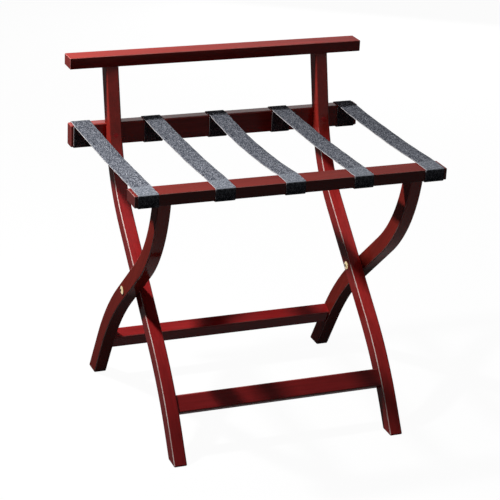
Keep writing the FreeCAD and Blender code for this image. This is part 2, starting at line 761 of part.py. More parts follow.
def make_back_leg(side_name, side):
    """One of the inner legs, which runs up past the seat as a post."""
    name = f"{side_name}_back_leg"
    blank = leg_blank(name, back_leg, TOP_RAIL_UNDER, f"{side} * {MIDDLE_OF_BACK_LEG}")
    housing = doc.addObject("Part::Box", f"{name}_housing")
    housing.setExpression("Length", "Sizes.leg_thickness * 2")
    housing.setExpression("Width", "Sizes.back_leg_width * 2")
    housing.setExpression("Height", "Sizes.back_rail_height")
    put(housing, x=f"{side} * {MIDDLE_OF_BACK_LEG} - Sizes.leg_thickness", y="Places.back_rail_front",
        z=SEAT_UNDER_BACK)
    bore = pivot_hole(f"{name}_pivot_bore", "Sizes.barrel_diameter / 2 + Sizes.pivot_clearance", side,
                      BACK_LEG_INSIDE, BACK_LEG_OUTSIDE)
    tools = [housing, bore]
    tools += joint_holes(name, "top_rail_dowels")
    tools += joint_holes(name, "front_stretcher_dowels")
    tools += screw_holes(name)
    return drilled(name, blank, tools)


def make_front_leg(side_name, side):
    """One of the outer legs, which ends under the front seat rail."""
    name = f"{side_name}_front_leg"
    blank = leg_blank(name, front_leg, SEAT_UNDER_FRONT, f"{side} * {MIDDLE_OF_FRONT_LEG}")
    bore = pivot_hole(f"{name}_pivot_bore", "Sizes.bolt_diameter / 2 + Sizes.pivot_clearance", side,
                      FRONT_LEG_INSIDE, FRONT_LEG_OUTSIDE)
    tools = [bore]
    tools += joint_holes(name, "front_rail_dowels")
    tools += joint_holes(name, "rear_stretcher_dowels")
    return drilled(name, blank, tools)


# ---------------------------------------------------------------- rails and stretchers

def bar(name, length, depth, height, easing, ends=True):
    """A straight bar along X with rounded edges; its end edges stay sharp where it meets a leg."""
    body = new_body(f"{name}_blank")
    sketch = new_sketch(body, "YZ_Plane")
    centred_rectangle(sketch, depth, height)
    padded = pad(body, sketch, length)
    ease(body, padded, easing, lambda edge: ends or edge.BoundBox.XLength > value(length) / 2)
    return body


def make_top_rail():
    blank = bar("top_rail", "Sizes.rail_length", "Sizes.top_rail_depth", "Sizes.top_rail_height",
                "Sizes.rail_easing")
    put(blank, y=TOP_RAIL_Y, z=TOP_RAIL_Z)
    return drilled("top_rail", blank, joint_holes("top_rail", "top_rail_dowels"))


def make_front_rail():
    blank = bar("front_seat_rail", "Sizes.rail_length", "Sizes.front_rail_depth", "Sizes.front_rail_height",
                "Sizes.rail_easing")
    put(blank, y="Places.front_leg_top_y", z=FRONT_RAIL_Z)
    tools = joint_holes("front_seat_rail", "front_rail_dowels")
    tools += staple_holes("front_seat_rail", "Places.front_leg_top_y", SEAT_UNDER_FRONT)
    return drilled("front_seat_rail", blank, tools)


def make_back_rail():
    blank = bar("back_seat_rail", "Sizes.rail_length", "Sizes.back_rail_depth", "Sizes.back_rail_height",
                "Sizes.back_rail_easing")
    put(blank, y=BACK_RAIL_Y, z=BACK_RAIL_Z)
    tools = screw_holes("back_seat_rail") + staple_holes("back_seat_rail", BACK_RAIL_Y, SEAT_UNDER_BACK)
    return drilled("back_seat_rail", blank, tools)


def make_stretcher(name, face):
    """A stretcher between the inside faces of two legs, turned to their slope."""
    blank = bar(name, f"2 * {face}", "Sizes.stretcher_thickness", "Sizes.stretcher_width",
                "Sizes.stretcher_easing", ends=False)
    put(blank, y=f"Places.{name}_y", z=f"Sizes.{name}_height", axis=TO_X, turn=f"Places.{name}_tilt")
    return drilled(name, blank, joint_holes(name, f"{name}_dowels"))


# ---------------------------------------------------------------- straps and staples

STRAP_OUT = "(Sizes.strap_clearance + Sizes.strap_thickness)"


def staple_places(rail_y, underside):
    """Two staples side by side in each strap end, under a seat rail, crown against the strap."""
    return [{"x": f"{middle} + {step} * Sizes.staple_spacing / 2", "y": rail_y,
             "z": f"{underside} - {STRAP_OUT}"}
            for middle in STRAPS.values() for step in (-1, 1)]


def staple_holes(owner, rail_y, underside):
    """Square tools round the legs of the staples, from below the strap up."""
    gap = "Sizes.staple_clearance"
    tools = []
    for place in staple_places(rail_y, underside):
        for end in (-1, 1):
            tool = doc.addObject("Part::Box", f"{owner}_staple_hole")
            tool.setExpression("Length", f"Sizes.staple_wire + 2 * {gap}")
            tool.setExpression("Width", f"Sizes.staple_wire + 2 * {gap}")
            tool.setExpression("Height", "2 * Sizes.staple_leg")
            reach = f"{end} * (Sizes.staple_width - Sizes.staple_wire) / 2"
            put(tool, x=f"{place['x']} + {reach} - Sizes.staple_wire / 2 - {gap}",
                y=f"{place['y']} - Sizes.staple_wire / 2 - {gap}",
                z=f"{place['z']} - Sizes.staple_leg + {gap}")
            tools.append(tool)
    return tools


def make_staples():
    staple = new_body("staple")
    sketch = new_sketch(staple, "XZ_Plane")
    half, wire, leg = "Sizes.staple_width / 2", "Sizes.staple_wire", "Sizes.staple_leg"
    square_outline(sketch, [
        (f"-{half}", f"-{wire}"), (half, f"-{wire}"), (half, leg), (f"{half} - {wire}", leg),
        (f"{half} - {wire}", "0"), (f"-{half} + {wire}", "0"), (f"-{half} + {wire}", leg), (f"-{half}", leg),
    ])
    pad(staple, sketch, wire)
    copies("front_strap_staples", staple, staple_places("Places.front_leg_top_y", SEAT_UNDER_FRONT))
    copies("back_strap_staples", staple, staple_places(BACK_RAIL_Y, SEAT_UNDER_BACK))


def make_strap(name, middle):
    """A strap wrapped once round each seat rail, with its span level with the rail tops."""
    body = new_body(f"{name}_blank")
    sketch = new_sketch(body, "YZ_Plane")
    rails = {"front": ("Places.front_leg_top_y", "Sizes.front_rail_depth", SEAT_UNDER_FRONT),
             "back": (BACK_RAIL_Y, "Sizes.back_rail_depth", SEAT_UNDER_BACK)}

    def edges(rail, out):
        centre, depth, under = rails[rail]
        return f"{centre} - {depth} / 2 - {out}", f"{centre} + {depth} / 2 + {out}", f"{under} - {out}"

    seat_in = "Sizes.seat_height + Sizes.strap_clearance"
    seat_out = f"Sizes.seat_height + {STRAP_OUT}"
    front, front_back, front_under = edges("front", STRAP_OUT)
    back_front, back, back_under = edges("back", STRAP_OUT)
    square_outline(sketch, [(front, front_under), (front_back, front_under), (front_back, seat_in),
                            (back_front, seat_in), (back_front, back_under), (back, back_under),
                            (back, seat_out), (front, seat_out)])
    for rail in rails:
        near, far, under = edges(rail, "Sizes.strap_clearance")
        square_outline(sketch, [(near, under), (far, under), (far, seat_in), (near, seat_in)])
    pad(body, sketch, "Sizes.strap_width")
    put(body, x=middle)
    tools = staple_holes(name, "Places.front_leg_top_y", SEAT_UNDER_FRONT)
    tools += staple_holes(name, BACK_RAIL_Y, SEAT_UNDER_BACK)
    return drilled(name, body, tools)


# ---------------------------------------------------------------- the bench

def make_bench():
    make_top_rail()
    make_back_rail()
    make_front_rail()
    make_stretcher("front_stretcher", BACK_LEG_INSIDE)
    make_stretcher("rear_stretcher", FRONT_LEG_INSIDE)
    for side_name, side in SIDES.items():
        make_back_leg(side_name, side)
        make_front_leg(side_name, side)
    for name, (places, low, high) in DOWELS.items():
        copies(name, dowel(f"{name}_one", low, high), places)
    make_screws()
    make_plugs()
    make_pivots()
    for name, middle in STRAPS.items():
        make_strap(name, middle)
    make_staples()


NODES = [
    "top_rail", "back_seat_rail", "left_back_leg", "right_back_leg", "front_stretcher", "top_rail_dowels",
    "front_stretcher_dowels", "back_rail_screws", "back_rail_plugs", "pivot_bolts", "pivot_nuts",
    "pivot_washers", *STRAPS, "back_strap_staples",
    "front_seat_rail", "left_front_leg", "right_front_leg", "rear_stretcher", "front_rail_dowels",
    "rear_stretcher_dowels", "front_strap_staples",
]


def check(piece):
    """Stops the build at an object that failed or a shape that isn't sound."""
    if {"Invalid", "Error"} & set(piece.State):
        raise RuntimeError(f"{piece.Name} failed: {piece.State}")
    if hasattr(piece, "Shape") and (piece.Shape.isNull() or not piece.Shape.isValid()):
        raise RuntimeError(f"{piece.Name} has no sound shape")


make_bench()
doc.recompute()
for item in doc.Objects:
    check(item)
os.makedirs("parts", exist_ok=True)
for node in NODES:
    part = doc.getObject(node)
    part.Label = node
    part.Shape.exportStep(os.path.join("parts", f"{node}.step"))
    print(node, len(part.Shape.Solids), "solids", round(part.Shape.Volume), "mm3")
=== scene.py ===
"""Looks of a folding hotel luggage bench, built round its packed construction model.

The wooden pieces, dowels, brass pivots, screws and staples keep their constructed shapes and get
finishes here. The five webbing straps are woven bands made here, because cloth bends round the
rails and sags between them. Everything is in metres, with +Z up and the floor at zero.
"""

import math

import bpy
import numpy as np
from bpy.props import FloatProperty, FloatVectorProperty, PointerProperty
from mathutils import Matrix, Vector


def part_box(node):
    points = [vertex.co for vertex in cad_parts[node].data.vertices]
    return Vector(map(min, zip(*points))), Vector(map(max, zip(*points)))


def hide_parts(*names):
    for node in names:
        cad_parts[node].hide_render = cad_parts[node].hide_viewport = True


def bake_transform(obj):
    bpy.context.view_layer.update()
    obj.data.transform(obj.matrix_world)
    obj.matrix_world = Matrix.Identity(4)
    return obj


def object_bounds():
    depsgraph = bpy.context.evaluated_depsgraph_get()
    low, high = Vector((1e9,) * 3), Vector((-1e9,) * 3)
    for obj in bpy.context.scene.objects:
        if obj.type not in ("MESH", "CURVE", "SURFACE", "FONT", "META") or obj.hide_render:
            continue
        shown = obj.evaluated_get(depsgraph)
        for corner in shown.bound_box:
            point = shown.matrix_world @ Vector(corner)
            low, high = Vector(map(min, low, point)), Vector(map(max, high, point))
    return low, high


bl_info = {
    "name": "Hotel Luggage Bench",
    "version": (1, 0, 0),
    "blender": (4, 5, 0),
    "location": "View3D > Sidebar > Bench",
    "description": "Finishes and webbing straps of a folding luggage bench",
    "category": "Object",
}

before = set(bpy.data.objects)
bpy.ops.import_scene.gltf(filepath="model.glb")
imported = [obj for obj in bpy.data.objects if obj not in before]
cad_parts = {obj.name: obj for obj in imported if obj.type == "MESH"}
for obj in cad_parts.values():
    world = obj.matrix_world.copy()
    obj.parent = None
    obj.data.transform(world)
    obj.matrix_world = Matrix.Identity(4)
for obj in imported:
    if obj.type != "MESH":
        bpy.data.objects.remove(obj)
CAD_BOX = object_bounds()

MM = 0.001

FRONT_RAIL = "front_seat_rail"
BACK_RAIL = "back_seat_rail"
MIDDLE_STRAP = "strap_middle"
STRAPS = ("strap_left_outer", "strap_left_inner", MIDDLE_STRAP, "strap_right_inner", "strap_right_outer")
# Each rail's stain, the strength of the painted highlight along its arrises, and the gloss of its
# upper face, which cloths and bags have polished.
RAILS = {
    "top_rail": ("lacquer", 0.25, 0.22),
    BACK_RAIL: ("lacquer", 0.08, 0.65),
    FRONT_RAIL: ("lacquer_front", 0.3, 0.15),
}
# The stretchers lie square to their legs, which turns them this far about X.
STRETCHERS = {"front_stretcher": math.radians(36.98), "rear_stretcher": math.radians(-30.65)}
# The back frame's legs are the inner pair, each with a brighter copy of the rails' lacquer, a
# painted light that is strongest on the right leg, and the front frame's the outer pair.
BACK_LEGS = {"left_back_leg": "lacquer_legs_painted_light", "right_back_leg": "lacquer_right_leg_painted_light"}
FRONT_LEGS = ("left_front_leg", "right_front_leg")
PLUGS = ("back_rail_plugs",)
DOWELS = ("top_rail_dowels", "front_stretcher_dowels", "front_rail_dowels", "rear_stretcher_dowels")
PIVOTS = ("pivot_bolts", "pivot_nuts", "pivot_washers")
STEEL = ("back_rail_screws", "back_strap_staples", "front_strap_staples")


def linear(code):
    """The linear colour of an sRGB hex value such as #8C2A22."""
    shares = [int(code[i:i + 2], 16) / 255 for i in (1, 3, 5)]
    return tuple(s / 12.92 if s <= 0.04045 else ((s + 0.055) / 1.055) ** 2.4 for s in shares)


def colour(name, code, description):
    """A colour property whose default is an sRGB hex value."""
    return FloatVectorProperty(
        name=name, description=description, subtype="COLOR", size=3, min=0, max=1, default=linear(code)
    )


def length(name, millimetres, description):
    """A length property whose default is in millimetres."""
    return FloatProperty(name=name, description=description, unit="LENGTH", default=millimetres * MM, min=0)


def light_level(name, default, description, unit="POWER"):
    """A property for a level of light: a lamp's power, or a plain level when the unit is NONE."""
    return FloatProperty(name=name, description=description, unit=unit, default=default, min=0)


class BenchStrapSizes(bpy.types.PropertyGroup):
    """Sizes of the webbing straps. Their width and places come from the construction model."""

    thickness: length("Thickness", 1.5, "Thickness of the webbing")
    clearance: length("Clearance", 0.3, "Air between the webbing and the rails")
    front_easing: length("Front easing", 1.5, "Rounding of the front rail's arrises")
    back_easing: length("Back easing", 3, "Rounding of the back rail's arrises")
    tuck: length("Tuck", 3, "How far below the rails' tops each end of a strap stops")
    sag: length("Sag", 3.5, "Sag of a tight strap at the middle of its span")
    middle_sag: length("Middle sag", 9, "Sag of the middle strap, which has stretched most")
    wander: length("Wander", 0.5, "How far a strap strays sideways along its run")
    crown: length("Crown", 0.35, "How far a strap arches across its width")
    yarn: length("Yarn", 1.25, "Width of one yarn, drawn coarser than real so that it shows")


class BenchColours(bpy.types.PropertyGroup):
    """Colours of the finishes."""

    lacquer: colour("Lacquer", "#A83028", "Cherry-red stain of the top and back rails and the posts")
    # Painted light: a brighter copy of the rails' lacquer for the legs' leaning faces, also on the
    # stretchers and plugs.
    lacquer_legs_painted_light: colour("Leg lacquer", "#BE2F30", "Stain of the left inner leg, stretchers and plugs")
    # Painted light: an even brighter copy of the lacquer for the right inner leg.
    lacquer_right_leg_painted_light: colour("Right leg lacquer", "#E33E3C", "Brighter stain of the right inner leg")
    lacquer_front: colour("Front lacquer", "#902C24", "Browner stain of the front rail and outer legs")
    # Painted shade: a darker copy of the lacquer for the inner legs' flat sides.
    lacquer_painted_side_shade: colour("Side lacquer", "#7A211E", "Stain on the flat sides of the inner legs' bends")
    lacquer_end: colour("End lacquer", "#5A1411", "Stain on end grain, which drinks more of it")
    # Painted highlight: this pale colour along the arrises stands in for the lamps' reflection there.
    lacquer_arris_highlight: colour("Worn lacquer", "#FFE9E2", "Rubbed lacquer on the arrises, where the stain is thin")
    webbing: colour("Webbing", "#6A6E79", "Grey-blue yarn")
    webbing_dark: colour("Dark yarn", "#2A2D36", "Dark fibres in the mixed yarn")
    webbing_light: colour("Light yarn", "#C6C9D2", "Pale fibres in the mixed yarn")
    # Painted light: paler, bluer yarn on top of the front rail, and a painted highlight at the bends.
    webbing_rubbed: colour("Rubbed yarn", "#BFC7D2", "Yarn pressed and rubbed on the front rail")
    selvedge: colour("Selvedge", "#D6D2D2", "Pale binding threads along both edges")
    brass: colour("Brass", "#E8D2A4", "Polished brass")
    steel: colour("Steel", "#B9BCC0", "Zinc-plated steel")
    beech: colour("Beech", "#C9A677", "Bare beech")
    beech_fleck: colour("Beech fleck", "#A67C4E", "Flecks in bare beech")
    floor: colour("Floor", "#444444", "Dull share of the pale floor, whose white is added for the eye")


class BenchLight(bpy.types.PropertyGroup):
    """Levels of the studio light."""

    key: light_level("Key", 21, "Power of the lamp at the upper left")
    top: light_level("Top", 9, "Power of the strip overhead")
    fill: light_level("Fill", 22, "Power of the softbox behind")
    sky: light_level("Sky", 0.03, "Level of the light from all round", unit="NONE")
    floor_white: light_level(
        "Floor white", 0.96, "White that the eye and reflections see on the floor", unit="NONE"
    )


# ---------------------------------------------------------------- finishes

# Pores are drawn coarser than real ones, which are about 0.3 mm wide, so that they show.
PORE_LENGTH, PORE_WIDTH = 55 * MM, 3.2 * MM
BAND_LENGTH, BAND_WIDTH = 260 * MM, 17 * MM
# The bands' part in the stain's unevenness, and the level of the stain where it is darkest.
BAND_PART, PORE_SHADE = 0.55, 0.62
# The most that the darker stain on end grain and the painted shade on a leg's flat sides cover,
# and the share of the painted arris highlight that arrises facing right have.
SIDE_PART, RIGHT_HIGHLIGHT = 0.7, 0.08
# Sizes of the patches where the painted arris highlight is stronger, of the coat's duller patches
# and of its peel.
HIGHLIGHT_PATCH_SIZE, DULL_SIZE, PEEL_SIZE = 30 * MM, 45 * MM, 6 * MM
# How finely the edges of blotches break up, and the range that most of their values lie in.
RAGGED, SOFT = 3.0, 2.0
MOST = (0.3, 0.7)
# Each range is one over which a part of the way that the surface faces brings an effect in or out:
# from left to right, on side faces, on a rail's top, and as a leg's bent face turns to its side.
LEFT_TO_RIGHT, TO_SIDE, TO_TOP, OFF_BEND = (-0.2, 0.2), (0.75, 0.97), (0.8, 0.97), (0.3, 0.9)
# The same for twice the arris measure, from the edge of an arris to its middle.
ARRIS_EDGE = (0.6, 0.92)

# How the name of each piece's lacquer starts.
WOOD = "lacquered_wood_"
# Gloss is the weight of the clear coat, and the highlight strength says how strong the painted
# highlight along the arrises is.
BOARD_GLOSS = 0.1
# Strength of the painted arris highlight on the stretchers and on the plugs.
STRETCHER_HIGHLIGHT, PLUG_HIGHLIGHT = 0.25, 0.5
# The legs' grain follows their boards, which lean this far from upright in side view.
LEG_SLOPE = math.radians(36)
INNER_LEGS = {"inner": True, "slope": LEG_SLOPE, "highlight_strength": 1.0, "gloss": 0.07, "held_gloss": 0.2}
OUTER_LEGS = {"inner": False, "slope": -LEG_SLOPE, "highlight_strength": 0.4, "gloss": 0.03, "held_gloss": 0.17}
# Brightness of the outer legs' stain on their held faces, a painted bounce light.
HELD_PAINTED_LIGHT = 2.2
# Heights between which the held part fades in, with its gloss and, on the outer legs, its painted
# bounce light, measured from the pivots, and those between which the posts' stain takes over from
# the inner legs' brighter painted-light copy, measured from the front rail's underside.
HELD_AND_LIT_FADE = (-10 * MM, 70 * MM)
POST_FADE = (-60 * MM, -10 * MM)

WEAVE_MAP = "weave"
PRESSED_AND_LIT_MAP = "pressed"
# Level of the webbing's colour at the back rail: painted shade, darker towards the back.
BACK_SHADE = 0.7
BINDING_WIDTH, BINDING_FADE, LOOP_PITCH = 0.7 * MM, 0.5 * MM, 2.4 * MM
# Radii between which the painted shade in a hex socket ends.
SOCKET_EDGE = (2.9 * MM, 3.6 * MM)


def add_node(tree, kind, sockets=(), **settings):
    """Adds a node, whose kind is its type without ShaderNode.

    Settings are its own options. Sockets are its inputs, by name or in order, and each is a value,
    an output to link, or a node whose first output is linked. A MapRange takes a value, the range
    that it is in and the range that it is moved to, which is 0 to 1 where none is given.
    """
    node = tree.nodes.new("ShaderNode" + kind)
    for name, value in settings.items():
        setattr(node, name, value)
    pairs = sockets.items() if isinstance(sockets, dict) else enumerate(sockets)
    for key, value in pairs:
        source = value.outputs[0] if isinstance(value, bpy.types.Node) else value
        if isinstance(source, bpy.types.NodeSocket):
            tree.links.new(source, node.inputs[key])
        else:
            node.inputs[key].default_value = source
    return node


def new_material(name):
    """An empty node material and its tree."""
    material = bpy.data.materials.new(name)
    material.use_nodes = True
    material.node_tree.nodes.clear()
    return material, material.node_tree


def paint(rgb, level=1.0):
    """A colour socket's four numbers: a colour, made darker or brighter by a level."""
    return (*(level * part for part in rgb), 1.0)


def layered(tree, ground, *layers):
    """A ground with layers over it in turn, each a share and a colour.

    The ground and the colours are four numbers each, or come from nodes.
    """
    for share, layer in layers:
        ground = add_node(tree, "Mix", {0: share, 6: ground, 7: layer}, data_type="RGBA").outputs[2]
    return ground


def blotches(tree, place, size, detail):
    """Noise whose blotches have the given size in metres: one, or one each along X, Y and Z."""
    scale = tuple(1 / side for side in np.broadcast_to(size, 3))
    at = add_node(tree, "Mapping", {"Vector": place, "Scale": scale})
    return add_node(tree, "TexNoise", {"Vector": at, "Scale": 1.0, "Detail": detail})


def wood_grain(tree, place, run):
    """The pores of a board and the depth of its stain, where run is the axis of its length.

    The pores and the soft bands are blotches drawn out along the board, and the depth adds both.
    """
    pore, band = [PORE_WIDTH] * 3, [BAND_WIDTH] * 3
    pore[run], band[run] = PORE_LENGTH, BAND_LENGTH
    pores = add_node(tree, "MapRange", (blotches(tree, place, pore, RAGGED), 0.35, 0.7))
    bands = add_node(tree, "MapRange", (blotches(tree, place, band, SOFT), *MOST))
    pore_part = add_node(tree, "Math", (pores, 1 - BAND_PART), operation="MULTIPLY")
    return pores, add_node(tree, "Math", (bands, BAND_PART, pore_part), operation="MULTIPLY_ADD")


def stained(tree, depth, rgb):
    """A stain that lies darker in the pores and bands."""
    return layered(tree, paint(rgb), (depth, paint(rgb, PORE_SHADE)))


def side_share(tree, x):
    """The share of a darker colour on side faces: stain on end grain, painted shade on leg sides.

    Here and below, x, y and z are the parts of the way that the surface faces.
    """
    sideways = add_node(tree, "Math", (x,), operation="ABSOLUTE")
    return add_node(tree, "MapRange", (sideways, *TO_SIDE, 0.0, SIDE_PART))


def side_arris(tree, x):
    """The size of x * sqrt(1 - x * x), which is 1/2 along the arrises beside side and end faces."""
    square = add_node(tree, "Math", (x, x), operation="MULTIPLY")
    rest = add_node(tree, "Math", (1.0, square), operation="SUBTRACT")
    root = add_node(tree, "Math", (rest,), operation="SQRT")
    product = add_node(tree, "Math", (x, root), operation="MULTIPLY")
    return add_node(tree, "Math", (product,), operation="ABSOLUTE")


def arris_highlight_share(tree, place, x, arris, highlight_strength):
    """The share of the painted arris highlight: up to its strength on the arrises, 0 on flat faces.

    The arris measure is 1/2 at the middle of a rounded arris, whatever the board's length. The
    highlight is painted the whole way here and half of it there, and arrises that face right,
    away from the key lamp, have little of it.
    """
    whole = add_node(tree, "Math", (arris, 2.0), operation="MULTIPLY")
    share = add_node(tree, "MapRange", (whole, *ARRIS_EDGE))
    patches = blotches(tree, place, HIGHLIGHT_PATCH_SIZE, RAGGED)
    # The painted highlight fades on arrises that face right, away from the key lamp.
    on_left = add_node(tree, "MapRange", (x, *LEFT_TO_RIGHT, 1.0, RIGHT_HIGHLIGHT))
    patchy_highlight = add_node(tree, "MapRange", (patches, 0.3, 0.55, 0.5 * highlight_strength, highlight_strength))
    for limit in (on_left, patchy_highlight):
        share = add_node(tree, "Math", (share, limit), operation="MULTIPLY")
    return share


def clear_lacquer(tree, place, pores, stain, gloss):
    """Sprayed and rubbed clear lacquer over a stain.

    The coat levels out most of the grain, so it shines evenly, with a faint orange peel. The gloss
    comes from the coat alone, so that white surroundings don't veil the stain.
    """
    peel = blotches(tree, place, PEEL_SIZE, SOFT)
    height = add_node(tree, "Math", (pores, 0.35, peel), operation="MULTIPLY_ADD")
    bump = add_node(tree, "Bump", {"Height": height, "Strength": 0.25, "Distance": 0.08 * MM})
    dull = blotches(tree, place, DULL_SIZE, RAGGED)
    shader = add_node(tree, "BsdfPrincipled", {
        "Base Color": stain,
        "Roughness": add_node(tree, "MapRange", (dull, *MOST, 0.3, 0.45)),
        "IOR": 1.5,
        "Specular IOR Level": 0.0,
        "Coat Weight": gloss,
        "Coat Roughness": 0.12,
        "Coat IOR": 1.5,
        "Normal": bump,
        "Coat Normal": bump,
    })
    add_node(tree, "OutputMaterial", {"Surface": shader})


def lacquered_board(name, colours, stain, highlight_strength, top_gloss=None, tilt=0.0):
    """A board along X: stained hardwood under clear lacquer, darker on its end grain.

    The stain is a name in the colours. It is nearly even, with slightly darker pores and soft
    bands along the grain, and a painted highlight lies along the arrises. To find those, the way
    that the surface faces is turned about X by the tilt, so that the board lies square. The
    measure is then the size of x * sqrt(1 - x * x) beside the ends and of y * z along the board.
    The upper face may have a gloss of its own.
    """
    material, tree = new_material(name)
    coordinates = add_node(tree, "TexCoord").outputs
    place = coordinates["Object"]
    pores, depth = wood_grain(tree, place, 0)
    square = add_node(tree, "Mapping", {"Vector": coordinates["Normal"], "Rotation": (tilt, 0, 0)})
    x, y, z = add_node(tree, "SeparateXYZ", {"Vector": square}).outputs
    product = add_node(tree, "Math", (y, z), operation="MULTIPLY")
    long_arris = add_node(tree, "Math", (product,), operation="ABSOLUTE")
    arris = add_node(tree, "Math", (side_arris(tree, x), long_arris), operation="MAXIMUM")
    # Over the stain go the darker end grain and the painted highlight along the arrises.
    wood = layered(
        tree, stained(tree, depth, getattr(colours, stain)),
        (side_share(tree, x), paint(colours.lacquer_end)),
        (arris_highlight_share(tree, place, x, arris, highlight_strength), paint(colours.lacquer_arris_highlight)),
    )
    gloss = BOARD_GLOSS
    if top_gloss is not None:
        gloss = add_node(tree, "MapRange", (z, *TO_TOP, BOARD_GLOSS, top_gloss))
    clear_lacquer(tree, place, pores, wood, gloss)
    return material


def held_and_lit_share(tree, x, height):
    """1 on a leg's bent faces above the pivots, where hands hold it and outer legs get painted light."""
    pivot = sum(corner.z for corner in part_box(PIVOTS[0])) / 2
    above = add_node(tree, "MapRange", (height, *(pivot + edge for edge in HELD_AND_LIT_FADE)))
    sideways = add_node(tree, "Math", (x,), operation="ABSOLUTE")
    bent = add_node(tree, "MapRange", (sideways, *OFF_BEND, 1.0, 0.0))
    return add_node(tree, "Math", (above, bent), operation="MULTIPLY")


def lacquered_leg(name, colours, stain, inner, slope, highlight_strength, gloss, held_gloss):
    """A leg of the same lacquered hardwood, with a painted arris highlight only below the seat.

    Its grain leans by the slope, and its bent faces shine more where hands hold them. An inner leg
    has the back rail's stain above the seat and below it a brighter copy, a painted light, with
    painted shade on its flat sides. On an outer leg the held faces are painted brighter, a painted
    bounce light.
    """
    lacquer = getattr(colours, stain)
    material, tree = new_material(name)
    coordinates = add_node(tree, "TexCoord").outputs
    place = add_node(tree, "Mapping", {"Vector": coordinates["Object"], "Rotation": (slope, 0, 0)})
    pores, depth = wood_grain(tree, place, 2)
    x = add_node(tree, "SeparateXYZ", {"Vector": coordinates["Normal"]}).outputs[0]
    height = add_node(tree, "SeparateXYZ", {"Vector": coordinates["Object"]}).outputs[2]
    seat_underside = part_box(FRONT_RAIL)[0].z
    fade = [seat_underside + edge for edge in POST_FADE]
    below_seat = add_node(tree, "MapRange", (height, *fade, 1.0, 0.0))
    held_and_lit = held_and_lit_share(tree, x, height)
    # The painted highlight along the arrises, only below the seat.
    rubbed = arris_highlight_share(tree, place, x, side_arris(tree, x), highlight_strength)
    highlighted = add_node(tree, "Math", (rubbed, below_seat), operation="MULTIPLY")
    wood = stained(tree, depth, lacquer)
    if inner:
        # Painted shade on the flat sides below the seat.
        sides = add_node(tree, "Math", (side_share(tree, x), below_seat), operation="MULTIPLY")
        # Above the seat the rails' stain, below it the brighter copy, a painted light.
        posts = stained(tree, depth, colours.lacquer)
        wood = layered(tree, posts, (below_seat, wood), (sides, paint(colours.lacquer_painted_side_shade)))
    else:
        # Painted bounce light: the outer legs' held faces are painted brighter.
        wood = layered(tree, wood, (held_and_lit, paint(lacquer, HELD_PAINTED_LIGHT)))
    wood = layered(tree, wood, (highlighted, paint(colours.lacquer_arris_highlight)))
    shine = add_node(tree, "MapRange", (held_and_lit, 0.0, 1.0, gloss, held_gloss))
    clear_lacquer(tree, place, pores, wood, shine)
    return material


def bare_beech(name, colours):
    """Turned beech dowel, unfinished: pale and dull, with short darker flecks along the dowel."""
    material, tree = new_material(name)
    place = add_node(tree, "TexCoord").outputs["Object"]
    flecks = blotches(tree, place, (5 * MM, 0.7 * MM, 0.7 * MM), SOFT)
    share = add_node(tree, "MapRange", (flecks, 0.5, 0.68, 0.0, 0.8))
    shader = add_node(tree, "BsdfPrincipled", {
        "Base Color": layered(tree, paint(colours.beech), (share, paint(colours.beech_fleck))),
        "Roughness": 0.68,
        "IOR": 1.5,
        "Normal": add_node(tree, "Bump", {"Height": flecks, "Strength": 0.4, "Distance": 0.1 * MM}),
    })
    add_node(tree, "OutputMaterial", {"Surface": shader})
    return material


def polished_brass(name, colours):
    """Turned and polished brass: warm and bright, with fine turning marks and a few duller spots.

    The hex sockets, which lie on the pivot's axis, are darkened by painted shade.
    """
    material, tree = new_material(name)
    place = add_node(tree, "TexCoord").outputs["Object"]
    marks = blotches(tree, place, (8 * MM, 0.4 * MM, 0.4 * MM), SOFT)
    spots = blotches(tree, place, 3 * MM, RAGGED)
    dull = add_node(tree, "MapRange", (spots, 0.5, 0.75, 0.0, 0.6))
    low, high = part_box(PIVOTS[0])
    from_pivot = add_node(tree, "VectorMath", (place, (low + high) / 2), operation="SUBTRACT")
    radial = add_node(tree, "VectorMath", (from_pivot, (0, 1, 1)), operation="MULTIPLY")
    reach = add_node(tree, "VectorMath", (radial,), operation="LENGTH").outputs["Value"]
    # Painted shade in the hex sockets.
    in_socket = add_node(tree, "MapRange", (reach, *SOCKET_EDGE, 0.9, 0.0))
    dulled, painted_socket_shade = paint(colours.brass, 0.72), paint(colours.brass, 0.1)
    shader = add_node(tree, "BsdfPrincipled", {
        "Base Color": layered(tree, paint(colours.brass), (dull, dulled), (in_socket, painted_socket_shade)),
        "Metallic": 1.0,
        "Roughness": add_node(tree, "MapRange", (spots, *MOST, 0.1, 0.24)),
        "Normal": add_node(tree, "Bump", {"Height": marks, "Strength": 0.15, "Distance": 0.05 * MM}),
    })
    add_node(tree, "OutputMaterial", {"Surface": shader})
    return material


def zinc_steel(name, colours):
    """Zinc-plated steel wire and screws: grey and satin, with a faintly mottled plating."""
    material, tree = new_material(name)
    place = add_node(tree, "TexCoord").outputs["Object"]
    mottle = blotches(tree, place, 1.5 * MM, RAGGED)
    share = add_node(tree, "MapRange", (mottle, 0.4, 0.65))
    duller = paint(colours.steel, 0.75)
    shader = add_node(tree, "BsdfPrincipled", {
        "Base Color": layered(tree, paint(colours.steel), (share, duller)),
        "Metallic": 1.0,
        "Roughness": add_node(tree, "MapRange", (mottle, *MOST, 0.28, 0.45)),
    })
    add_node(tree, "OutputMaterial", {"Surface": shader})
    return material


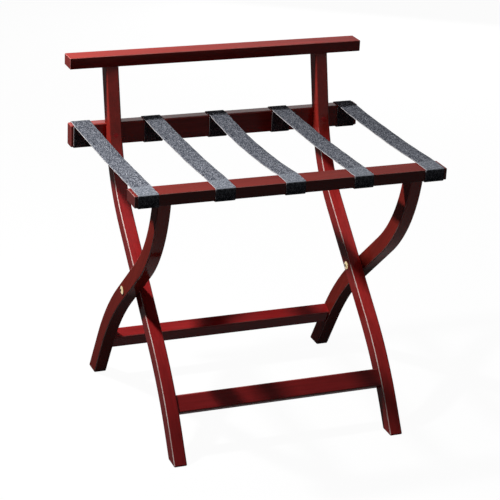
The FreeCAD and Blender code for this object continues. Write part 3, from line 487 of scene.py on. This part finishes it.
def woven_yarns(tree, place, colours, yarn):
    """The mixed yarns' colours and the rise of their weave.

    Each warp float is a brick of its own shade, laid in staggered rows, and the gaps between them
    are dark.
    """
    turned = add_node(tree, "Mapping", {"Vector": place, "Rotation": (0, 0, math.pi / 2)})
    weave = add_node(tree, "TexBrick", {
        "Vector": turned,
        "Color1": (0, 0, 0, 1),
        "Color2": (1, 1, 1, 1),
        "Mortar": (0.25, 0.25, 0.25, 1),
        "Scale": 1.0,
        "Mortar Size": 0.1 * yarn,
        "Mortar Smooth": 0.4,
        "Bias": 0.0,
        "Brick Width": 1.5 * yarn,
        "Row Height": yarn,
    })
    shades = add_node(tree, "ValToRGB", {"Fac": weave.outputs["Color"]})
    ramp = shades.color_ramp
    ramp.elements[0].position, ramp.elements[0].color = 0.05, paint(colours.webbing_dark)
    ramp.elements[1].position, ramp.elements[1].color = 0.98, paint(colours.webbing_light)
    ramp.elements.new(0.5).color = paint(colours.webbing)
    rise = add_node(tree, "Math", (weave.outputs["Fac"], -1.0, 1.0), operation="MULTIPLY_ADD")
    return shades, rise


def binding_share(tree, place, width):
    """The share of the binding threads, which loop over both edges of the band."""
    across, along, _ = add_node(tree, "SeparateXYZ", {"Vector": place}).outputs
    off_middle = add_node(tree, "Math", (across,), operation="ABSOLUTE")
    edge = width / 2 - BINDING_WIDTH
    at_edge = add_node(tree, "MapRange", (off_middle, edge, edge + BINDING_FADE))
    turns = add_node(tree, "Math", (along, 2 * math.pi / LOOP_PITCH), operation="MULTIPLY")
    loops = add_node(tree, "Math", (turns,), operation="SINE")
    dotted = add_node(tree, "MapRange", (loops, -0.6, 0.6, 0.55, 1.0))
    return add_node(tree, "Math", (at_edge, dotted), operation="MULTIPLY")


def woven_webbing(name, colours, sizes, width):
    """Woven cotton-blend webbing: matte, of mixed grey-blue yarn, with pale threads at its edges.

    It is painted darker towards the back rail, a painted shade. Where it lies pressed on top of
    the front rail it is painted a little paler and bluer, a painted light, most of all at the bends
    round the arrises, a painted highlight. The map's U is the distance from the band's middle, V
    the distance along it, both in metres.
    """
    material, tree = new_material(name)
    place = add_node(tree, "UVMap", uv_map=WEAVE_MAP)
    yarns, rise = woven_yarns(tree, place, colours, sizes.yarn)
    blotch = blotches(tree, place, (14 * MM, 22 * MM, 1.0), RAGGED)
    tone = add_node(tree, "MapRange", (blotch, *MOST, 0.9, 1.08))
    standing = add_node(tree, "TexCoord").outputs["Object"]
    depth = add_node(tree, "SeparateXYZ", {"Vector": standing}).outputs[1]
    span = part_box(FRONT_RAIL)[1].y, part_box(BACK_RAIL)[0].y
    # Painted shade: the webbing is painted darker towards the back rail.
    painted_shade_to_back = add_node(tree, "MapRange", (depth, *span, 1.0, BACK_SHADE))
    level = add_node(tree, "Math", (tone, painted_shade_to_back), operation="MULTIPLY")
    toned = add_node(tree, "Mix", {0: 1.0, 6: yarns, 7: level}, data_type="RGBA", blend_type="MULTIPLY")
    # Painted light on top of the front rail, with a painted highlight at its bends.
    pressed = add_node(tree, "Attribute", attribute_name=PRESSED_AND_LIT_MAP).outputs["Fac"]
    cloth = layered(
        tree, toned.outputs[2],
        (binding_share(tree, place, width), paint(colours.selvedge)),
        (pressed, paint(colours.webbing_rubbed)),
    )
    shader = add_node(tree, "BsdfPrincipled", {
        "Base Color": cloth,
        "Roughness": add_node(tree, "MapRange", (blotch, *MOST, 0.72, 0.86)),
        "IOR": 1.45,
        "Specular IOR Level": 0.0,
        "Sheen Weight": 0.02,
        "Sheen Roughness": 0.5,
        "Normal": add_node(tree, "Bump", {"Height": rise, "Strength": 0.6, "Distance": 0.25 * MM}),
    })
    add_node(tree, "OutputMaterial", {"Surface": shader})
    return material


def finish_nodes(names, material):
    """Gives CAD nodes one finish."""
    for name in names:
        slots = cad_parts[name].data.materials
        for index in range(len(slots)):
            slots[index] = material


# ---------------------------------------------------------------- webbing

SPAN_STEP = 3 * MM
ARC_STEPS = 6
FACE_POINTS, EDGE_POINTS = 17, 5
# The waves in which a strap strays: each one's part, the run over which it turns by one radian, and
# how many times it takes the strap's phase, which grows by a step from strap to strap.
WAVES = ((0.6, 27 * MM, 1), (0.4, 9.7 * MM, 2))
PHASE_STEP = 2.1
# Share of the painted light on top of the front rail, and the painted highlight that the bends add to it.
ON_RAIL, AT_ARRIS = 0.22, 0.9


def corner_arc(before, corner, after, radius):
    """Points of the arc of that radius that rounds the corner between two straight runs.

    It starts where the first run has radius * tan(turn / 2) left to go. Its centre lies square to
    that run, on the side to which the path turns, and its points turn evenly about the centre.
    """
    into = (corner - before) / np.linalg.norm(corner - before)
    out = (after - corner) / np.linalg.norm(after - corner)
    turn = math.atan2(into[0] * out[1] - into[1] * out[0], into @ out)
    start = corner - into * radius * math.tan(abs(turn) / 2)
    square = np.array([-into[1], into[0]]) * math.copysign(1.0, turn)
    centre, spoke = start + square * radius, -square * radius
    angles = np.linspace(0, turn, ARC_STEPS + 1)
    return centre + np.stack([
        spoke[0] * np.cos(angles) - spoke[1] * np.sin(angles),
        spoke[0] * np.sin(angles) + spoke[1] * np.cos(angles),
    ], axis=1)


def divided(points, step):
    """The line again, with each run divided evenly into parts no longer than the step."""
    runs = [
        np.linspace(a, b, math.ceil(np.linalg.norm(b - a) / step), endpoint=False)
        for a, b in zip(points[:-1], points[1:])
    ]
    return np.concatenate([*runs, points[-1:]])


def span_share(sizes, depths):
    """The share of the free span at each Y: 0 on the front rail and 1 on the back rail.

    The span runs from the front rail's back arris to the back rail's front one.
    """
    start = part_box(FRONT_RAIL)[1].y - sizes.front_easing
    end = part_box(BACK_RAIL)[0].y + sizes.back_easing
    return np.clip((depths - start) / (end - start), 0, 1)


def strap_line(sizes, sag):
    """The strap's middle line in side view, as (Y, Z) points from its front end to its back end.

    It runs once round the front rail, along the span and once round the back rail. Each corner is
    an arc about the rail's own rounded arris. The span hangs in a parabola: at a share s of its
    run it is 4 * sag * s * (1 - s) below the straight line.
    """
    off = sizes.clearance + sizes.thickness / 2
    (_, front_near, front_under), (_, front_far, seat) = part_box(FRONT_RAIL)
    (_, back_near, back_under), (_, back_far, _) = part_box(BACK_RAIL)
    top, tuck = seat + off, seat - sizes.tuck
    corners = np.array([
        (front_far + off, tuck), (front_far + off, front_under - off), (front_near - off, front_under - off),
        (front_near - off, top), (back_far + off, top), (back_far + off, back_under - off),
        (back_near - off, back_under - off), (back_near - off, tuck),
    ])
    radii = [sizes.front_easing + off] * 3 + [sizes.back_easing + off] * 3
    arcs = [corner_arc(*corners[i:i + 3], radius) for i, radius in enumerate(radii)]
    line = divided(np.concatenate([corners[:1], *arcs, corners[-1:]]), SPAN_STEP)
    share = span_share(sizes, line[:, 0])
    line[:, 1] -= np.where(line[:, 1] > seat, 4 * sag * share * (1 - share), 0)
    return line


def section(width, thickness):
    """Outline of the band square to its run: flat faces and half-round edges.

    It starts at the left end of the upper face and goes round to the right. Across and up are
    measured from the middle. Reach is the distance from the middle along the face, which runs on
    round the edge.
    """
    radius = thickness / 2
    half = width / 2 - radius
    face = np.linspace(-half, half, FACE_POINTS)
    turn = np.linspace(0, math.pi, EDGE_POINTS + 2)[1:-1]
    bulge, rise = radius * np.sin(turn), radius * np.cos(turn)
    run_on = radius * np.minimum(turn, math.pi - turn)
    level = np.full(len(face), radius)
    across = np.concatenate([face, half + bulge, face[::-1], -half - bulge])
    up = np.concatenate([level, rise, -level, -rise])
    reach = np.concatenate([face, half + run_on, face[::-1], -half - run_on])
    return across, up, reach


def tube_mesh(name, place):
    """A closed mesh through rings of points: quads from ring to ring and one flat face at each end."""
    rings, points, _ = place.shape
    ring, point = np.meshgrid(np.arange(rings - 1), np.arange(points), indexing="ij")
    here, beside = ring * points + point, ring * points + (point + 1) % points
    quads = np.stack([here, beside, beside + points, here + points], axis=2).reshape(-1, 4)
    last = (rings - 1) * points
    faces = [*quads.tolist(), list(range(points))[::-1], list(range(last, last + points))]
    mesh = bpy.data.meshes.new(name)
    mesh.from_pydata(place.reshape(-1, 3), [], faces)
    smooth = np.ones(len(faces), bool)
    smooth[-2:] = False
    mesh.polygons.foreach_set("use_smooth", smooth)
    return mesh


def lay_weave(mesh, along, reach, pressed):
    """Tells the webbing's material where each corner lies on the band and how much painted light it has.

    A corner's U is its reach across the band, and its V the distance along it.
    """
    corner = np.zeros(len(mesh.loops), np.int32)
    mesh.loops.foreach_get("vertex_index", corner)
    spot = np.stack([np.tile(reach, len(along)), np.repeat(along, len(reach))], axis=1)
    weave = mesh.uv_layers.new(name=WEAVE_MAP)
    weave.uv.foreach_set("vector", spot[corner].astype(np.float32).ravel())
    share = mesh.attributes.new(PRESSED_AND_LIT_MAP, "FLOAT", "POINT")
    share.data.foreach_set("value", np.repeat(pressed, len(reach)).astype(np.float32))
    mesh.validate()


def strap_mesh(name, sizes, number):
    """One strap: the band's section carried along its line.

    Ring i stands at point i of the line, square to the run there. The band strays sideways by the
    sum of sine waves of the distance along it, whose phases come from the strap's number. On the
    span it arches: a point's rise is crown * (1 - u * u) * sin(pi * s), where u is its share of
    the half width and s its share of the span. On top of the front rail it gets painted light, and
    a painted highlight where its run bends.
    """
    low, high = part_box(name)
    width, centre = high.x - low.x, (low.x + high.x) / 2
    line = strap_line(sizes, sizes.middle_sag if name == MIDDLE_STRAP else sizes.sag)
    along = np.concatenate([[0], np.cumsum(np.linalg.norm(np.diff(line, axis=0), axis=1))])
    run = np.gradient(line, along, axis=0)
    run /= np.linalg.norm(run, axis=1)[:, None]
    across, up, reach = section(width, sizes.thickness)
    share = span_share(sizes, line[:, 0])
    on_top = line[:, 1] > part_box(FRONT_RAIL)[1].z - sizes.middle_sag
    hanging = np.where(on_top, np.sin(np.pi * share), 0)
    lift = up + sizes.crown * hanging[:, None] * (1 - (2 * across / width) ** 2)
    phase = PHASE_STEP * number
    stray = sizes.wander * sum(
        part * np.sin(along / radian + times * phase) for part, radian, times in WAVES
    )
    place = np.stack([
        centre + across + stray[:, None],
        line[:, :1] - run[:, 1:] * lift,
        line[:, 1:] + run[:, :1] * lift,
    ], axis=2)
    bend = 1 - np.abs(run).max(axis=1)
    # Painted light on top of the front rail, more where the run bends, a painted highlight.
    pressed = np.where(on_top & (share == 0), ON_RAIL + AT_ARRIS * bend / bend.max(), 0.0)
    mesh = tube_mesh(name + "_band", place)
    lay_weave(mesh, along, reach, pressed)
    return mesh, width, along[-1]


# ---------------------------------------------------------------- operators


class BENCH_OT_stage(bpy.types.Operator):
    """Makes the floor, the light and the camera"""

    bl_idname = "bench.stage"
    bl_label = "Floor, light and camera"

    def execute(self, context):
        colours, light = context.scene.bench_colours, context.scene.bench_light
        make_floor(colours.floor, light.floor_white)
        make_sky(light.sky)
        softbox("key_softbox", light.key, KEY_PLACE, KEY_SIZE)
        softbox("top_strip", light.top, TOP_PLACE, TOP_SIZE)
        fill = softbox("fill_softbox", light.fill, FILL_PLACE, FILL_SIZE)
        fill.visible_glossy = False
        make_camera(context.scene)
        context.scene.view_settings.view_transform = "Standard"
        return {"FINISHED"}


class BENCH_OT_woodwork(bpy.types.Operator):
    """Stains and lacquers the rails, stretchers, legs and plugs"""

    bl_idname = "bench.woodwork"
    bl_label = "Lacquered woodwork"

    def execute(self, context):
        colours = context.scene.bench_colours
        for rail, (stain, highlight_strength, top_gloss) in RAILS.items():
            finish_nodes([rail], lacquered_board(WOOD + rail, colours, stain, highlight_strength, top_gloss=top_gloss))
        # The stretchers and plugs take the legs' brighter copy of the lacquer, a painted light.
        for bar, tilt in STRETCHERS.items():
            wood = lacquered_board(WOOD + bar, colours, "lacquer_legs_painted_light", STRETCHER_HIGHLIGHT, tilt=tilt)
            finish_nodes([bar], wood)
        finish_nodes(PLUGS, lacquered_board(WOOD + "plugs", colours, "lacquer_legs_painted_light", PLUG_HIGHLIGHT))
        for leg, stain in BACK_LEGS.items():
            finish_nodes([leg], lacquered_leg(WOOD + leg, colours, stain, **INNER_LEGS))
        wood = lacquered_leg(WOOD + "front_legs", colours, "lacquer_front", **OUTER_LEGS)
        finish_nodes(FRONT_LEGS, wood)
        return {"FINISHED"}


class BENCH_OT_dowels(bpy.types.Operator):
    """Gives the dowels their bare beech"""

    bl_idname = "bench.dowels"
    bl_label = "Beech dowels"

    def execute(self, context):
        finish_nodes(DOWELS, bare_beech("bare_beech", context.scene.bench_colours))
        return {"FINISHED"}


class BENCH_OT_pivots(bpy.types.Operator):
    """Polishes the brass pivot bolts, nuts and washers"""

    bl_idname = "bench.pivots"
    bl_label = "Brass pivots"

    def execute(self, context):
        finish_nodes(PIVOTS, polished_brass("polished_brass", context.scene.bench_colours))
        return {"FINISHED"}


class BENCH_OT_screws_and_staples(bpy.types.Operator):
    """Plates the screws and staples"""

    bl_idname = "bench.screws_and_staples"
    bl_label = "Zinc-plated screws and staples"

    def execute(self, context):
        finish_nodes(STEEL, zinc_steel("zinc_plated_steel", context.scene.bench_colours))
        return {"FINISHED"}


class BENCH_OT_straps(bpy.types.Operator):
    """Weaves the five straps and wraps them round the seat rails"""

    bl_idname = "bench.straps"
    bl_label = "Webbing straps"

    def execute(self, context):
        scene = context.scene
        sizes = scene.bench_straps
        low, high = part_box(STRAPS[0])
        webbing = woven_webbing("woven_webbing", scene.bench_colours, sizes, high.x - low.x)
        for number, name in enumerate(STRAPS):
            mesh, width, run = strap_mesh(name, sizes, number)
            mesh.materials.append(webbing)
            band = bpy.data.objects.new(name + "_webbing", mesh)
            scene.collection.objects.link(band)
            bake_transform(band)
            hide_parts(name)
        return {"FINISHED"}


# ---------------------------------------------------------------- stage

# The lamps' places, and their widths and depths.
KEY_PLACE, KEY_SIZE = (-0.88, 0.28, 1.5), (0.09, 0.09)
TOP_PLACE, TOP_SIZE = (-0.7, 0.3, 3.2), (1.6, 0.15)
FILL_PLACE, FILL_SIZE = (1.5, 2.5, 0.9), (1.6, 1.6)
FLOOR_HALF = 30.0
# The camera's place, its turns about X, Y and Z in degrees, and its lens and sensor in millimetres.
CAMERA_PLACE = (-1.2062, -2.9649, 1.5979)
CAMERA_TURN = (68.025, -2.462, -21.109)
CAMERA_LENS, CAMERA_SENSOR = 130.08, 36.0


def seen_share(tree):
    """1 on rays from the eye, in reflections and through clear things, and 0 on other rays."""
    rays = add_node(tree, "LightPath").outputs
    share = rays["Is Camera Ray"]
    for ray in ("Is Glossy Ray", "Is Transmission Ray"):
        share = add_node(tree, "Math", (share, rays[ray]), operation="MAXIMUM")
    return share


def make_floor(rgb, white):
    """A wide flat floor: dull, and made white for the eye and for reflections."""
    mesh = bpy.data.meshes.new("floor")
    corners = [(x * FLOOR_HALF, y * FLOOR_HALF, 0) for x, y in ((-1, -1), (1, -1), (1, 1), (-1, 1))]
    mesh.from_pydata(corners, [], [(0, 1, 2, 3)])
    material, tree = new_material("pale_floor")
    dull = add_node(tree, "BsdfDiffuse", {"Color": paint(rgb)})
    shown = add_node(tree, "Math", (seen_share(tree), white), operation="MULTIPLY")
    glow = add_node(tree, "Emission", {"Strength": shown})
    add_node(tree, "OutputMaterial", {"Surface": add_node(tree, "AddShader", (dull, glow))})
    mesh.materials.append(material)
    floor = bpy.data.objects.new("floor", mesh)
    bpy.context.scene.collection.objects.link(floor)


def make_sky(level):
    """Even light from all round, which the eye and reflections see as white."""
    world = bpy.data.worlds.new("studio")
    world.use_nodes = True
    tree = world.node_tree
    tree.nodes.clear()
    strength = add_node(tree, "MapRange", (seen_share(tree), 0.0, 1.0, level, 1.0))
    sky = add_node(tree, "Background", {"Color": (1, 1, 1, 1), "Strength": strength})
    add_node(tree, "OutputWorld", {"Surface": sky})
    bpy.context.scene.world = world


def softbox(name, power, place, size):
    """A rectangular soft lamp that faces the middle of the bench."""
    lamp = bpy.data.lights.new(name, "AREA")
    lamp.shape, lamp.energy = "RECTANGLE", power
    lamp.size, lamp.size_y = size
    box = bpy.data.objects.new(name, lamp)
    bpy.context.scene.collection.objects.link(box)
    box.location = place
    way = box.location - (CAD_BOX[0] + CAD_BOX[1]) / 2
    box.rotation_euler = way.to_track_quat("Z", "Y").to_euler()
    return box


def make_camera(scene):
    """The camera, a little left of the front and above the seat."""
    lens = bpy.data.cameras.new("camera")
    lens.lens, lens.sensor_width = CAMERA_LENS, CAMERA_SENSOR
    camera = bpy.data.objects.new("camera", lens)
    camera.location = CAMERA_PLACE
    camera.rotation_euler = [math.radians(turn) for turn in CAMERA_TURN]
    scene.collection.objects.link(camera)
    scene.camera = camera


# ---------------------------------------------------------------- panel and run

OPERATORS = (
    BENCH_OT_stage, BENCH_OT_woodwork, BENCH_OT_dowels, BENCH_OT_pivots, BENCH_OT_screws_and_staples,
    BENCH_OT_straps,
)
SETTINGS = {"bench_straps": BenchStrapSizes, "bench_colours": BenchColours, "bench_light": BenchLight}


class BENCH_PT_bench(bpy.types.Panel):
    """Lists the bench's settings and the steps that make it"""

    bl_idname = "BENCH_PT_bench"
    bl_label = "Luggage bench"
    bl_space_type = "VIEW_3D"
    bl_region_type = "UI"
    bl_category = "Bench"

    def draw(self, context):
        for name, group in SETTINGS.items():
            box = self.layout.box()
            for setting in group.__annotations__:
                box.prop(getattr(context.scene, name), setting)
        for operator in OPERATORS:
            self.layout.operator(operator.bl_idname)


CLASSES = (*SETTINGS.values(), *OPERATORS, BENCH_PT_bench)


def register():
    for item in CLASSES:
        bpy.utils.register_class(item)
    for name, group in SETTINGS.items():
        setattr(bpy.types.Scene, name, PointerProperty(type=group))


def unregister():
    for name in SETTINGS:
        delattr(bpy.types.Scene, name)
    for item in reversed(CLASSES):
        bpy.utils.unregister_class(item)


def main():
    register()
    bpy.ops.bench.stage()
    bpy.ops.bench.woodwork()
    bpy.ops.bench.dowels()
    bpy.ops.bench.pivots()
    bpy.ops.bench.screws_and_staples()
    bpy.ops.bench.straps()


if __name__ == "__main__":
    main()
